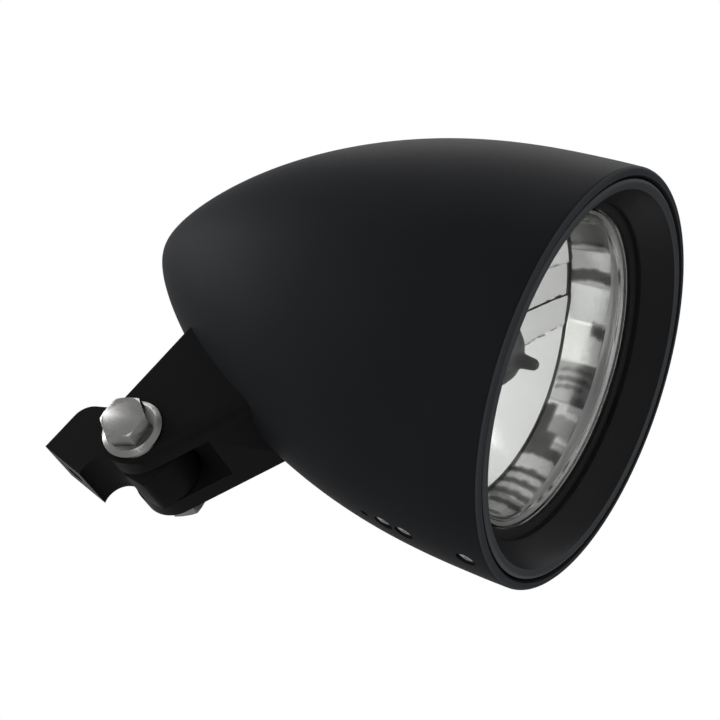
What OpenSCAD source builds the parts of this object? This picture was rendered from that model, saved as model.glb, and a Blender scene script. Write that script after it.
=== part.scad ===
// Round motorcycle headlight with a bullet shell, a clevis and a tilting foot block.
// The beam leaves along -Y, +Z is up, and the lamp's own right side is -X.
// The origin is the mouth of the tapped hole in the foot block's base.

/* [Shell] */
// outer diameter at the mouth
mouth_d = 165; // [150:1:180]
// length from the mouth plane to the nose
shell_l = 199.8; // [180:0.2:220]
// wall of the shell
wall = 2.6; // [2:0.1:3.5]
// width of the lip around the trim ring
lip_w = 4.2; // [3.6:0.1:5]
// gap of the seam between shell and trim ring
seam_gap = 0.35; // [0.2:0.05:0.6]
// rounding of the lip
lip_round = 1.6; // [1:0.1:2]

/* [Trim ring and insert] */
// width of the trim ring's rounded lip
ring_lip_w = 4.4; // [3.5:0.1:5.5]
// wall of the trim ring's skirt
skirt_t = 2.45; // [2:0.05:3]
// width of the visor cone from the lip to the throat
visor_w = 7.15; // [6:0.05:9]
// depth of the throat
throat_y = 11.6; // [9:0.1:13]
// width of the gasket that shows inside the throat
gasket_w = 3.3; // [2.5:0.1:4.5]
// gap between the insert and the trim ring's skirt
insert_gap = 2.7; // [2:0.1:3.2]
// thickness of the glass rim
glass_t = 4; // [3:0.1:5]
// gap between the insert's clips and the shoulder that stops the trim ring
shoulder_gap = 3.2; // [1:0.1:6]
// depth of the reflector's ring of panels behind the glass
panel_l = 23.6; // [20:0.2:26]
// depth of the reflector's bowl behind the panels
bowl_l = 42.7; // [38:0.1:46]
// depth of one reflector step
step_h = 0.9; // [0.4:0.1:1.4]

/* [Clevis and foot] */
// width over the two ears
clevis_w = 45; // [42:0.5:48]
// width of the slot between the ears
slot_w = 26.6; // [26.4:0.1:28]
// radius of the rounded ear ends
ear_r = 14.2; // [13.5:0.1:15]
// position of the pivot behind the mouth plane
pivot_y = 150; // [146:0.5:154]
// drop of the pivot below the lamp's axis
pivot_z = 88.7; // [86:0.1:92]
// gap between the tongue and the slot on each side
foot_gap = 0.8; // [0.6:0.1:1.4]
// tilt of the foot block against the lamp in the photo's pose
foot_tilt = 14; // [10:0.5:18]
// radius of the half-round notch
notch_r = 9.4; // [8.5:0.1:10]
// distance from the pivot to the foot's base face
base_drop = 25.1; // [24.5:0.1:27]
// distance from the pivot to the foot's rear face
rear_reach = 34.7; // [34:0.1:37]

/* [Fasteners] */
// pivot bolt diameter
pivot_d = 12; // [12:0.5:12]
// flange diameter of the pivot bolt and nut
flange_d = 24.9; // [24:0.1:26]
// width across the pivot bolt's flats
hex_af = 17; // [16:0.5:18]
// bore of the tapped hole in the foot's base
tap_d = 8.5; // [8.5:0.5:8.5]
// running clearance of the pivot bolt, on the diameter
pivot_fit = 0.16; // [0.1:0.02:0.2]

/* [Hidden] */
fine = 144;
mouth_r = mouth_d / 2;
bore_r = mouth_r - lip_w;
ring_r = bore_r - seam_gap;
ring_in = ring_r - ring_lip_w;
skirt_in = ring_r - skirt_t;
throat_r = ring_in - visor_w;
gasket_r = throat_r - gasket_w;
insert_r = skirt_in - insert_gap;
shoulder_t = 3;

// places of the insert's pieces behind the throat
gasket_y = throat_y + 2.2;
glass_y = gasket_y + 2.4;
flange_y = glass_y + glass_t;
carrier_y = flange_y + 2;
carrier_t = 1.4;
carrier_in = insert_r - 3.3;
carrier_fit = 0.1;
clip_y = carrier_y + carrier_t;
clip_in = carrier_in + 0.3;
clip_t = 1.2;
clip_w = 12;
clip_fit = 0.2;
clip_leg = 5.4;
shoulder_y = clip_y + clip_t + shoulder_gap;

// reflector bowl with its hole for the bulb
bowl_t = 1.7;
flange_in = insert_r - 5.2;
rim_r = insert_r - 8.8;
rim_y = flange_y + panel_l;
vertex_y = rim_y + bowl_l;
bowl_hole = 22.4;
neck_in = 19.2;
neck_out = 26;
seat_y = vertex_y + 5.5;
step_n = 60;
function bowl_y(r) = vertex_y - bowl_l * pow(r / rim_r, 2);

// bulbs
bulb_r = 8.5;
bulb_l = 56;
bulb_tip_y = seat_y - bulb_l;
bulb_wall = 1;
base_r = 21.5;
base_t = 1.2;
base_l = 8;
shield_gap = 4;
shield_wall = 8;
nose_y = bulb_tip_y - shield_gap - shield_wall;
blade_r = 7.6;
blade_t = 0.8;
blade_w = 8;
blade_l = 9;
blade_fit = 0.1;
spring_r = 16.6;
spring_d = 1.6;
plug_r = 13;
plug_l = 18;
park_z = 38;
park_r = 5.4;
park_grip = 0.1;
park_rim = 2.2;
park_bulb_r = 4.2;
park_y = bowl_y(park_z) + 4;

// low-head screws, the rail that two of them hold, and what the rail carries
screw_head_d = 7;
screw_head_h = 2.8;
screw_d = 4;
screw_l = 8;
screw_seat = 3.2;
screw_key = 2.9;
hook = 0.4;
ring_screw_y = 10.7;
ring_tap_r = ring_r - 7.55;
rail_w = 14;
rail_y0 = shoulder_y + 5;
rail_y1 = rail_y0 + 38;
rail_top = mouth_r - 10.5;
rail_screw_y = [rail_y0 + 4.7, rail_y0 + 14.1];
drain_y = rail_y0 + 23;
drain_d = 3.2;
bracket_t = 2.5;
bracket_w = 24;
bracket_gap = 6.4;
bracket_h = rail_top - park_z - park_r - park_rim - bracket_gap;
block_w = 22;
block_l = 12;
block_h = 14;

// profile of the bullet: radius as a share of the mouth radius, t from mouth to nose
c1 = 0.8421;
c2 = 1.8708;
c3 = -5.8503;
c4 = 5.6222;
c5 = -2.798;
function swell(t) = 1 + t * (c1 + t * (c2 + t * (c3 + t * (c4 + t * c5))));
function bullet(t) = sqrt(max(0, (1 - t) * swell(t)));
function shell_r(y) = mouth_r * bullet(y / shell_l);
function inner_r(y) = (mouth_r - wall) * bullet(y / (shell_l - wall));
function shell_slope(y) = (shell_r(y + 1) - shell_r(y - 1)) / 2;
function ease(u) = 1 - (1 - u) * (1 - u);
function arc(cx, cy, r, a0, a1, n) =
    [for (i = [0:n]) let (a = a0 + (a1 - a0) * i / n) [cx + r * cos(a), cy + r * sin(a)]];

// clevis geometry, in the lamp's side view, with angles measured below +Y
front_seam_y = pivot_y - 40;
rear_seam_y = pivot_y + 2.9;
ear_half = clevis_w / 2;
slot_half = slot_w / 2;
front_seam_z = -sqrt(pow(shell_r(front_seam_y), 2) - pow(ear_half, 2));
rear_seam_z = -sqrt(pow(shell_r(rear_seam_y), 2) - pow(ear_half, 2));
front_ang = atan2(pivot_z + front_seam_z, pivot_y - front_seam_y)
    + asin(ear_r / norm([pivot_y - front_seam_y, pivot_z + front_seam_z]));
rear_ang = atan2(pivot_z + rear_seam_z, pivot_y - rear_seam_y)
    - asin(ear_r / norm([pivot_y - rear_seam_y, pivot_z + rear_seam_z]));
axis_ang = (front_ang + rear_ang) / 2;
slot_floor = ear_r + 6.3;
edge_round = 4;

// saddle plate and bolts that hold the clevis to the shell
saddle_y = (front_seam_y + rear_seam_y) / 2;
saddle_z = -shell_r(saddle_y);
saddle_ang = atan(-shell_slope(saddle_y));
saddle_t = 5;
saddle_l = 36;
saddle_w = 28;
saddle_cut = 4;
bolt_gap = 19;
bolt_d = 6;
bolt_l = 18;
bolt_af = 10;
bolt_head_h = 4;

// grommet, turned from the lamp's underside towards its left side
grommet_y = shell_l - 33.8;
grommet_ang = atan(-shell_slope(grommet_y));
grommet_side = 55;
grommet_r = 6;
grommet_rim = 2;
grommet_bore = 3.5;
grommet_in = 2.4;
grommet_out = 3;

// foot geometry, measured from the pivot in the foot's own frame
foot_w = slot_w - 2 * foot_gap;
corner_r = 9.4;
corner_u = rear_reach - corner_r;
corner_v = -8.2;
notch_u = 3.9;
notch_rise = 3.7;
notch_v = notch_rise - base_drop;
hole_u = (rear_reach + notch_u + sqrt(pow(notch_r, 2) - pow(notch_rise, 2))) / 2;
tap_depth = 20;
tongue_bevel = 3;
nose_at = [-9, -9.8];
nose_r = 3;
washer_t = foot_gap - 0.1;
washer_r = 10;
origin_y = pivot_y + hole_u * cos(foot_tilt) + base_drop * sin(foot_tilt);
origin_z = -pivot_z + hole_u * sin(foot_tilt) - base_drop * cos(foot_tilt);

// pivot bolt and nut
flange_t = 1.3;
collar_h = 3;
head_h = 10.9;
nut_h = 12;
hex_turn = 50;
bolt_end = 14.5;

// places the lamp so that the tapped hole's mouth is the origin
module place() {
    translate([0, -origin_y, -origin_z]) children();
}
// turns a profile of radius and depth about the lamp's axis
module spin(points, n = fine) {
    rotate([-90, 0, 0]) rotate_extrude($fn = n) polygon(points);
}
// straight cylinder along the lamp's axis
module along(r, y0, y1) {
    translate([0, y0, 0]) rotate([-90, 0, 0]) cylinder(r = r, h = y1 - y0, $fn = 64);
}
// straight cylinder up from z in the lamp's middle plane
module upward(d, y, z, h) {
    translate([0, y, z]) cylinder(d = d, h = h, $fn = 48);
}
// side-view outline made into a slab of width w
module slab(w) {
    rotate([90, 0, 90]) linear_extrude(w, center = true) children();
}
// frame at a point of the side view, with +Z turned inward
module at(y, z, ang) {
    translate([0, y, z]) rotate([ang, 0, 0]) children();
}
// frames of the two bolts under the saddle plate
module at_bolts() {
    for (s = [-1, 1]) at(saddle_y, saddle_z, saddle_ang) translate([0, s * bolt_gap / 2, 0]) children();
}
module at_grommet() {
    rotate([0, -grommet_side, 0]) at(grommet_y, -shell_r(grommet_y), grommet_ang) children();
}
module at_clips() {
    for (k = [0:3]) rotate([0, 45 + 90 * k, 0]) children();
}
module pivot_axis(r, x0, x1) {
    translate([x0, pivot_y, -pivot_z]) rotate([0, 90, 0]) cylinder(r = r, h = x1 - x0, $fn = 64);
}

module outer_solid() {
    n = 56;
    lip_r = mouth_r - lip_round;
    spin(concat(
        [[0, 0], [lip_r, 0]],
        [for (a = [30, 60]) [lip_r + lip_round * sin(a), lip_round * (1 - cos(a))]],
        [for (i = [1:n - 1]) let (y = lip_round + (shell_l - lip_round) * ease(i / n)) [shell_r(y), y]],
        [[0, shell_l]]));
}
module inner_solid() {
    n = 40;
    end_y = shell_l - wall;
    spin(concat(
        [[0, shoulder_y]],
        [for (i = [0:n - 1]) let (y = shoulder_y + (end_y - shoulder_y) * ease(i / n)) [inner_r(y), y]],
        [[0, end_y]]));
}
module mouth_bore() {
    spin([[0, -1], [bore_r + 0.8, -1], [bore_r + 0.8, 0], [bore_r, 0.8], [bore_r, shoulder_y], [0, shoulder_y]]);
}
module shoulder() {
    spin([[bore_r - 2, shoulder_y], [bore_r + 1.4, shoulder_y],
        [bore_r + 1.4, shoulder_y + shoulder_t], [bore_r - 2, shoulder_y + shoulder_t]]);
}
// recess and hole of a low-head screw that goes in from below
module screw_seat_at(y, top) {
    z = -shell_r(y) - 2;
    upward(screw_head_d + 1, y, z, screw_seat + 2);
    upward(screw_d + hook, y, z, top - z);
}
module cap_screw() {
    difference() {
        union() {
            cylinder(d = screw_head_d, h = screw_head_h, $fn = 48);
            translate([0, 0, screw_head_h]) cylinder(d = screw_d, h = screw_l, $fn = 48);
        }
        translate([0, 0, -1]) cylinder(d = screw_key, h = 2.6, $fn = 6);
    }
}

module shell() {
    color("#232527") place() difference() {
        union() {
            difference() {
                outer_solid();
                inner_solid();
                mouth_bore();
            }
            shoulder();
            intersection() {
                translate([-rail_w / 2, rail_y0, -mouth_r]) cube([rail_w, rail_y1 - rail_y0, mouth_r - rail_top]);
                outer_solid();
            }
        }
        for (y = rail_screw_y) screw_seat_at(y, 1 - rail_top);
        screw_seat_at(ring_screw_y, 1 - bore_r);
        upward(drain_d, drain_y, -shell_r(drain_y) - 2, 16);
        at_bolts() upward(bolt_d + hook, 0, -6, 16);
        at_grommet() upward(2 * grommet_r, 0, -4, 12);
    }
}

module trim_ring() {
    n = 6;
    lip_mid = (ring_r + ring_in) / 2;
    half = (ring_r - ring_in) / 2;
    lip_y = 1.4;
    bend = 0.45;
    color("#1d1e20") place() difference() {
        spin(concat(
            [for (i = [0:n]) let (a = 180 * i / n) [lip_mid + half * cos(a), lip_y - 1.6 * sin(a)]],
            [[throat_r + bend * (ring_in - throat_r), throat_y * 0.62], [throat_r, throat_y]],
            [[throat_r, gasket_y], [skirt_in, gasket_y], [skirt_in, shoulder_y], [ring_r, shoulder_y]]));
        at_clips() translate([-clip_w / 2 - clip_fit, clip_y, skirt_in - 1])
            cube([clip_w + 2 * clip_fit, clip_t, skirt_t + 2.55]);
        upward(screw_d, ring_screw_y, -mouth_r, mouth_r - ring_tap_r);
    }
}

module ring_gasket() {
    color("#101112") place() spin([[throat_r - 0.2, gasket_y], [insert_r, gasket_y], [insert_r, glass_y],
        [gasket_r, glass_y], [gasket_r, gasket_y + 0.7]]);
}

// depth of a dome of radius r and height h, measured from its crown
function dome(r, edge, h) = let (ball = (edge * edge + h * h) / (2 * h)) ball - sqrt(ball * ball - r * r);
module lens_glass() {
    n = 18;
    edge = gasket_r - 0.7;
    dome_h = 5;
    crown_y = glass_y + 1 - dome_h;
    thick = 4.4;
    color("#dfe8ea", 0.35) place() spin(concat(
        [for (i = [0:n]) let (r = (edge - 1.6) * i / n) [r, crown_y + dome(r, edge, dome_h)]],
        [[edge + 0.2, glass_y], [insert_r, glass_y], [insert_r, flange_y], [edge - 1.5, flange_y]],
        [for (i = [n:-1:0]) let (r = (edge - 3) * i / n) [r, crown_y + thick + dome(r, edge, dome_h)]]));
}

// front line of the reflector: radius, depth and the ring of panels it belongs to
ring2_r = rim_r - 11.8;
ring3_r = rim_r - 25.4;
bowl = concat(
    [[insert_r, flange_y, 9], [flange_in, flange_y, 9]],
    [for (i = [1:4]) let (t = i / 5) [flange_in + (rim_r - flange_in) * t, flange_y + panel_l * t, 0]],
    [for (i = [0:4]) let (r = rim_r - (rim_r - ring2_r - 1) * i / 4) [r, bowl_y(r), 1]],
    [for (i = [0:4]) let (r = ring2_r - (ring2_r - ring3_r - 1) * i / 4) [r, bowl_y(r), 2]],
    [for (i = [0:4]) let (r = ring3_r - (ring3_r - bowl_hole) * i / 4) [r, bowl_y(r), 3]],
    [[neck_in, vertex_y - 2.6, 9], [neck_in, seat_y, 9]]);
bowl_n = len(bowl);
function point(i) = [bowl[i][0], bowl[i][1]];
function rise(i) = let (t = point(i + 1) - point(i - 1)) [-t[1], t[0]] / norm(t);
function behind(i) = i == 0 ? [insert_r, carrier_y] : i == 1 ? [carrier_in - 0.1, carrier_y] :
    i == bowl_n - 1 ? [neck_out, seat_y] : i == bowl_n - 2 ? [neck_out, vertex_y - 0.4] :
    point(i) - rise(i) * bowl_t;
// which panels of a ring stand forward by one step
function panel(k, ring) = ring == 0 ? floor(k / 3) % 2 : ring == 1 ? floor((k + 2) / 5) % 2 :
    ring == 2 ? floor((k + 4) / 10) % 2 : ring == 3 ? floor((k + 8) / 15) % 2 : 0;
function ahead(i, k) = bowl[i][2] == 9 ? point(i) : point(i) + rise(i) * step_h * panel(k, bowl[i][2]);
function turned(p, k) = let (a = 360 * (k + 0.5) / step_n) [p[0] * sin(a), p[1], p[0] * cos(a)];
module reflector() {
    last = bowl_n - 1;
    m = bowl_n * step_n;
    front = [for (i = [0:last]) for (k = [0:step_n - 1]) turned(ahead(i, k), k)];
    back = [for (i = [0:last]) for (k = [0:step_n - 1]) turned(behind(i), k)];
    skin = [for (i = [0:last - 1]) for (k = [0:step_n - 1])
        let (p = i * step_n + k, q = i * step_n + (k + 1) % step_n)
        each [[p, p + step_n, q], [q, p + step_n, q + step_n]]];
    rear = [for (f = skin) [f[0] + m, f[2] + m, f[1] + m]];
    lip = [for (k = [0:step_n - 1]) let (p = k, q = (k + 1) % step_n) each [[p, q, p + m], [q, q + m, p + m]]];
    hole = [for (k = [0:step_n - 1]) let (p = last * step_n + k, q = last * step_n + (k + 1) % step_n)
        each [[p, p + m, q], [q, p + m, q + m]]];
    color("#c9ccce") place() difference() {
        polyhedron(concat(front, back), concat(skin, rear, lip, hole));
        translate([0, rim_y, -park_z]) rotate([-90, 0, 0]) cylinder(r = park_r - park_grip, h = 60, $fn = 24);
    }
}

module carrier_ring() {
    inside = insert_r + carrier_fit;
    outside = skirt_in - carrier_fit;
    color("#8f9396") place() spin([[carrier_in, carrier_y], [inside, carrier_y], [inside, gasket_y + 2],
        [outside, gasket_y + 2], [outside, clip_y], [carrier_in, clip_y]]);
}
module insert_clips() {
    reach = ring_r - 1.1 - clip_in;
    color("#b4b7ba") place() at_clips() translate([-clip_w / 2, clip_y, clip_in]) {
        cube([clip_w, clip_t, reach]);
        cube([clip_w, clip_leg, clip_t]);
    }
}

module bulb_shield() {
    cup_r = 12.2;
    cup_l = 27;
    leg_w = 3;
    leg_r = 16.6;
    leg_t = 1.4;
    cup_wall = 0.8;
    color("#3b3d3f") place() {
        translate([0, nose_y, 0]) spin([[0, 0], [1.6, 0.3], [2.8, 1.6], [3.2, 4], [4.6, 7], [8.4, 9.6], [11.4, 13.5],
            [cup_r, 19], [cup_r, cup_l], [cup_r - cup_wall, cup_l], [cup_r - cup_wall, 19], [10.6, 14.2], [7.8, 10.8],
            [4, 8.6], [0, shield_wall]]);
        for (k = [0:2]) rotate([0, 60 + 120 * k, 0]) translate([-leg_w / 2, nose_y + cup_l - 2, 0]) {
            translate([0, 0, cup_r - 0.4]) cube([leg_w, 2, leg_r + leg_t - cup_r + 0.4]);
            translate([0, 0, leg_r]) cube([leg_w, seat_y - nose_y - cup_l + 2, leg_t]);
        }
        spin([[leg_r + 0.2, seat_y - 2], [neck_in - 0.3, seat_y - 2], [neck_in - 0.3, seat_y], [leg_r + 0.2, seat_y]]);
    }
}
module bulb_glass() {
    n = 6;
    in_r = bulb_r - bulb_wall;
    back_y = seat_y - 4;
    color("#c8d4d8", 0.5) place() spin(concat(
        [for (i = [0:n]) let (a = 90 * i / n) [bulb_r * sin(a), bulb_tip_y + bulb_r - bulb_r * cos(a)]],
        [[bulb_r, back_y], [in_r, back_y]],
        [for (i = [n:-1:0]) let (a = 90 * i / n) [in_r * sin(a), bulb_tip_y + bulb_r - in_r * cos(a)]]));
}
module bulb_burner() {
    post = 0.9;
    color("#77797b") place() {
        along(bulb_r - 2.3, seat_y - 14, seat_y - 4);
        translate([0, 0, 2.2]) along(post, seat_y - 32, seat_y - 13);
        translate([0, 0, -2.6]) along(post, seat_y - 38, seat_y - 13);
        translate([-0.6, seat_y - 32, -2.6]) cube([1.2, 1.2, 5.2]);
    }
}
module bulb_base() {
    sleeve = bulb_r + 1.2;
    color("#a9adb0") place() difference() {
        translate([0, seat_y, 0]) spin([[0, -4], [bulb_r, -4], [bulb_r, -12], [sleeve, -12], [sleeve, -4], [14, 0],
            [base_r, 0], [base_r, base_t], [12.5, base_t], [12.5, base_l], [0, base_l]]);
        for (k = [0:2]) rotate([0, 30 + 120 * k, 0]) translate([-4, seat_y - 1, base_r - 1.9]) cube([8, 4, 4]);
    }
}
module bulb_blades() {
    color("#c4a35a") place() for (k = [0:2]) rotate([0, 90 * k, 0])
        translate([-blade_w / 2, seat_y + base_l, blade_r]) cube([blade_w, blade_l, blade_t]);
}
module bulb_spring() {
    wire = spring_d / 2;
    reach = 8.6;
    color("#b9bcbf") place() translate([0, seat_y + base_t + wire, 0]) {
        rotate([-90, 0, 0]) rotate_extrude($fn = 96) translate([spring_r, 0]) circle(r = wire, $fn = 24);
        for (s = [-1, 1]) translate([s * spring_r - (s > 0 ? 0 : reach), 0, 0]) rotate([0, 90, 0])
            cylinder(r = wire, h = reach, $fn = 24);
    }
}
module bulb_boot() {
    lip_t = 2.4;
    end_r = 17.5;
    color("#151617") place() translate([0, seat_y, 0]) spin([[neck_out, -5.2], [neck_out + lip_t, -5.2],
        [neck_out + lip_t, 5], [end_r + 3.5, 11], [end_r, 17], [plug_r, 17], [plug_r, 17 - lip_t],
        [end_r - 1.1, 13.6], [end_r + 1.1, 9.4], [neck_out, 3.6]]);
}
module bulb_plug() {
    y0 = seat_y + base_l;
    slot = blade_w + 2 * blade_fit;
    color("#1f2022") place() difference() {
        union() {
            along(plug_r, y0, y0 + plug_l);
            translate([-11, y0 + plug_l - 1, -10]) cube([22, 9, 20]);
        }
        for (k = [0:2]) rotate([0, 90 * k, 0]) translate([-slot / 2, y0 - 1, blade_r - blade_fit])
            cube([slot, blade_l + 1.2, blade_t + 2 * blade_fit]);
        for (k = [-1:1]) translate([6 * k, 0, 0]) along(1.6, y0 + plug_l + 2, y0 + plug_l + 12);
    }
}
module parking_bulb() {
    n = 4;
    tip_y = park_y - 22;
    color("#d6dee0", 0.6) place() translate([0, 0, -park_z]) spin(concat(
        [for (i = [0:n]) let (a = 90 * i / n) [park_bulb_r * sin(a), tip_y + park_bulb_r * (1 - cos(a))]],
        [[park_bulb_r, park_y], [0, park_y]]));
}
module parking_holder() {
    color("#26282a") place() translate([0, 0, -park_z]) difference() {
        union() {
            along(park_r, park_y - 7, park_y + 4);
            along(park_r + park_rim, park_y + 3, park_y + 9);
            along(4, park_y + 9, park_y + 16);
        }
        along(park_bulb_r, park_y - 8, park_y);
    }
}

module cap_screws() {
    color("#c9cbcc") place() for (y = concat([ring_screw_y], rail_screw_y))
        translate([0, y, -shell_r(y) + screw_seat - screw_head_h]) cap_screw();
}
module connector_bracket() {
    color("#9a9ea1") place() difference() {
        union() {
            translate([-rail_w / 2, rail_y0, -rail_top]) cube([rail_w, rail_y1 - rail_y0, bracket_t]);
            translate([-bracket_w / 2, rail_y1 - bracket_t, -rail_top]) cube([bracket_w, bracket_t, bracket_h]);
        }
        for (y = rail_screw_y) upward(screw_d, y, -rail_top - 1, bracket_t + 2);
        upward(drain_d + 2.8, drain_y, -rail_top - 1, bracket_t + 2);
    }
}
module terminal_block() {
    color("#d8d5cb") place() difference() {
        translate([-block_w / 2, rail_y1, 4 - rail_top]) cube([block_w, block_l, block_h]);
        for (k = [-1:1]) translate([7 * k, 0, 0]) upward(4, rail_y1 + block_l / 2, 10 - rail_top, 10);
    }
}
module grommet() {
    color("#141516") place() difference() {
        at_grommet() translate([0, 0, -grommet_in])
            cylinder(r = grommet_r + grommet_rim, h = wall + grommet_in + grommet_out, $fn = 64);
        difference() {
            outer_solid();
            inner_solid();
            at_grommet() upward(2 * grommet_r, 0, -5, 14);
        }
        at_grommet() upward(2 * grommet_bore, 0, -5, 16);
    }
}

module clevis_side() {
    reach = 22;
    polygon(concat(
        [[front_seam_y - reach * cos(front_ang), front_seam_z + reach * sin(front_ang)]],
        arc(pivot_y, -pivot_z, ear_r, 270 - front_ang, 450 - rear_ang, 26),
        [[rear_seam_y - reach * cos(rear_ang), rear_seam_z + reach * sin(rear_ang)]]));
}
// rounds the right ear's front edge and leaves the left one crisp
module front_rounding() {
    e = edge_round;
    at(front_seam_y, front_seam_z, 90 - front_ang) translate([0, 0, -90]) linear_extrude(140) polygon(concat(
        [[ear_half, 0], [ear_half, 90], [-ear_half, 90]],
        arc(-ear_half + e, e, e, 180, 270, 6)));
}
module clevis() {
    color("#26282a") place() difference() {
        intersection() {
            slab(clevis_w + 2) clevis_side();
            front_rounding();
        }
        outer_solid();
        at(pivot_y, -pivot_z, 90 - axis_ang) translate([-slot_half, -40, -30]) cube([slot_w, 80, 30 + slot_floor]);
        pivot_axis((pivot_d + pivot_fit) / 2, -ear_half - 1, ear_half + 1);
        at_bolts() upward(bolt_d, 0, wall + saddle_t - bolt_l - 0.6, bolt_l);
    }
}
module saddle_plate() {
    color("#85888b") place() difference() {
        intersection() {
            at(saddle_y, saddle_z, saddle_ang) translate([-saddle_w / 2, -saddle_l / 2, -saddle_cut])
                cube([saddle_w, saddle_l, saddle_cut + wall + saddle_t]);
            inner_solid();
        }
        at_bolts() upward(bolt_d + hook, 0, -6, 24);
    }
}
module clevis_bolts() {
    color("#b9bcbf") place() at_bolts() translate([0, 0, wall + saddle_t]) {
        cylinder(d = bolt_af / cos(30), h = bolt_head_h, $fn = 6);
        translate([0, 0, -bolt_l]) cylinder(d = bolt_d, h = bolt_l, $fn = 48);
    }
}

// flange with a hexagon on it, standing on z = 0
module flange_hex(h) {
    hex_r = hex_af / 2 / cos(30);
    rotate_extrude($fn = 96)
        polygon([[0, 0], [flange_d / 2, 0], [flange_d / 2, flange_t], [hex_r + 0.6, collar_h], [0, collar_h]]);
    intersection() {
        cylinder(r = hex_r, h = h, $fn = 6);
        rotate_extrude($fn = 96) polygon([[0, 0], [hex_r + 0.4, 0], [hex_r + 0.4, h - 1], [hex_r - 1.2, h], [0, h]]);
    }
}
module pivot_bolt() {
    color("#c4c6c7") place() {
        translate([-ear_half, pivot_y, -pivot_z]) rotate([0, -90, 0]) rotate([0, 0, hex_turn]) flange_hex(head_h);
        pivot_axis(pivot_d / 2, -ear_half - 1, ear_half + bolt_end);
    }
}
module flange_nut() {
    color("#bfc1c3") place() difference() {
        translate([ear_half, pivot_y, -pivot_z]) rotate([0, 90, 0]) flange_hex(nut_h);
        pivot_axis(pivot_d / 2, ear_half - 1, ear_half + nut_h + 4);
    }
}
module thrust_washers() {
    color("#1b1c1d") place() difference() {
        for (x = [-slot_half, slot_half - washer_t]) pivot_axis(washer_r, x, x + washer_t);
        pivot_axis((pivot_d + pivot_fit) / 2, -slot_half - 1, slot_half + 1);
    }
}
module foot_side() {
    span = norm([corner_u, corner_v]);
    top_n = atan2(corner_v, corner_u) + acos((ear_r - corner_r) / span);
    polygon(concat(
        [[ear_r * cos(top_n), ear_r * sin(top_n)]],
        arc(corner_u, corner_v, corner_r, top_n, 0, 10),
        [[rear_reach, -base_drop], [notch_u, -base_drop], [notch_u, -8], [ear_r * cos(top_n), 0]]));
}
module foot_block() {
    half = foot_w / 2;
    b = tongue_bevel;
    color("#2a2c2e") place() translate([0, pivot_y, -pivot_z]) rotate([foot_tilt, 0, 0]) difference() {
        union() {
            slab(foot_w) foot_side();
            intersection() {
                slab(foot_w) hull() {
                    circle(r = ear_r, $fn = 96);
                    translate(nose_at) circle(r = nose_r, $fn = 48);
                }
                rotate([0, 90, 0]) rotate_extrude($fn = 96)
                    polygon([[0, -half], [ear_r - b, -half], [ear_r + 3, b + 3 - half], [ear_r + 3, half], [0, half]]);
            }
        }
        translate([-half - 1, notch_u, notch_v]) rotate([0, 90, 0]) cylinder(r = notch_r, h = foot_w + 2, $fn = 96);
        translate([-half - 1, 0, 0]) rotate([0, 90, 0]) cylinder(d = pivot_d + pivot_fit, h = foot_w + 2, $fn = 64);
        upward(tap_d, hole_u, -base_drop - 1, tap_depth + 1);
    }
}

shell();
trim_ring();
ring_gasket();
lens_glass();
reflector();
carrier_ring();
insert_clips();
bulb_shield();
bulb_glass();
bulb_burner();
bulb_base();
bulb_blades();
bulb_spring();
bulb_boot();
bulb_plug();
parking_bulb();
parking_holder();
cap_screws();
connector_bracket();
terminal_block();
grommet();
clevis();
saddle_plate();
clevis_bolts();
pivot_bolt();
flange_nut();
thrust_washers();
foot_block();
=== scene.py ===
import math
import bpy
import bmesh
from mathutils import Matrix, Vector


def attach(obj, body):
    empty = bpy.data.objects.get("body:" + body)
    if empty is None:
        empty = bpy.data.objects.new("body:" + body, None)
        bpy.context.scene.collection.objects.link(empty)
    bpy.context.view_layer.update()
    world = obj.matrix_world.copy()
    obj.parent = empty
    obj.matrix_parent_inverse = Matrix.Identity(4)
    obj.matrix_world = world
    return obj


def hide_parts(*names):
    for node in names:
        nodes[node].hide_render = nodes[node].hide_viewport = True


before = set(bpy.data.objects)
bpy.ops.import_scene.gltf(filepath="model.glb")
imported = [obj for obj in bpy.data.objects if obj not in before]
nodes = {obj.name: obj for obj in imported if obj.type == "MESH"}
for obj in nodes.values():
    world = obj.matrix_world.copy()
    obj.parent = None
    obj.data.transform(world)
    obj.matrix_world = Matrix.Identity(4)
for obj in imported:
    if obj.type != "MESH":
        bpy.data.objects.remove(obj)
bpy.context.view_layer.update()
print("packed lamp loaded:", len(nodes), "nodes")

# the lamp's own axis in the row frame, in millimetres: y runs back from the mouth, z up from the axis
lampPlace = {"mouthY": -178.9912, "axisZ": 107.3401}


# a point in the lamp's millimetres, as a place in the scene
def lampPoint(x, y, z):
    return Vector((x, y + lampPlace["mouthY"], z + lampPlace["axisZ"])) / 1000


cameraSet = {
    "place": (-586.4, -258.0, -271.9),    # in the lamp's millimetres
    "right": (0.2943, -0.8323, 0.4697),
    "up": (-0.5129, 0.2772, 0.8125),
    "lens": 92.43,
    "sensor": 36.0,
    "clip": (0.02, 20),
}


def makeCamera(cfg):
    camData = bpy.data.cameras.new("lampCamera")
    camData.lens = cfg["lens"]
    camData.sensor_width = cfg["sensor"]
    camData.clip_start, camData.clip_end = cfg["clip"]
    cam = bpy.data.objects.new("lampCamera", camData)
    right = Vector(cfg["right"]).normalized()
    up = Vector(cfg["up"])
    up = (up - right * up.dot(right)).normalized()
    back = right.cross(up)
    turn = Matrix((right, up, back)).transposed().to_4x4()
    cam.matrix_world = Matrix.Translation(lampPoint(*cfg["place"])) @ turn
    bpy.context.scene.collection.objects.link(cam)
    bpy.context.scene.camera = cam


makeCamera(cameraSet)
print("camera set")


# a node with plain values on its named inputs
def addNode(tree, kind, values=None):
    node = tree.nodes.new(kind)
    for label, value in (values or {}).items():
        node.inputs[label].default_value = value
    return node


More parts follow.
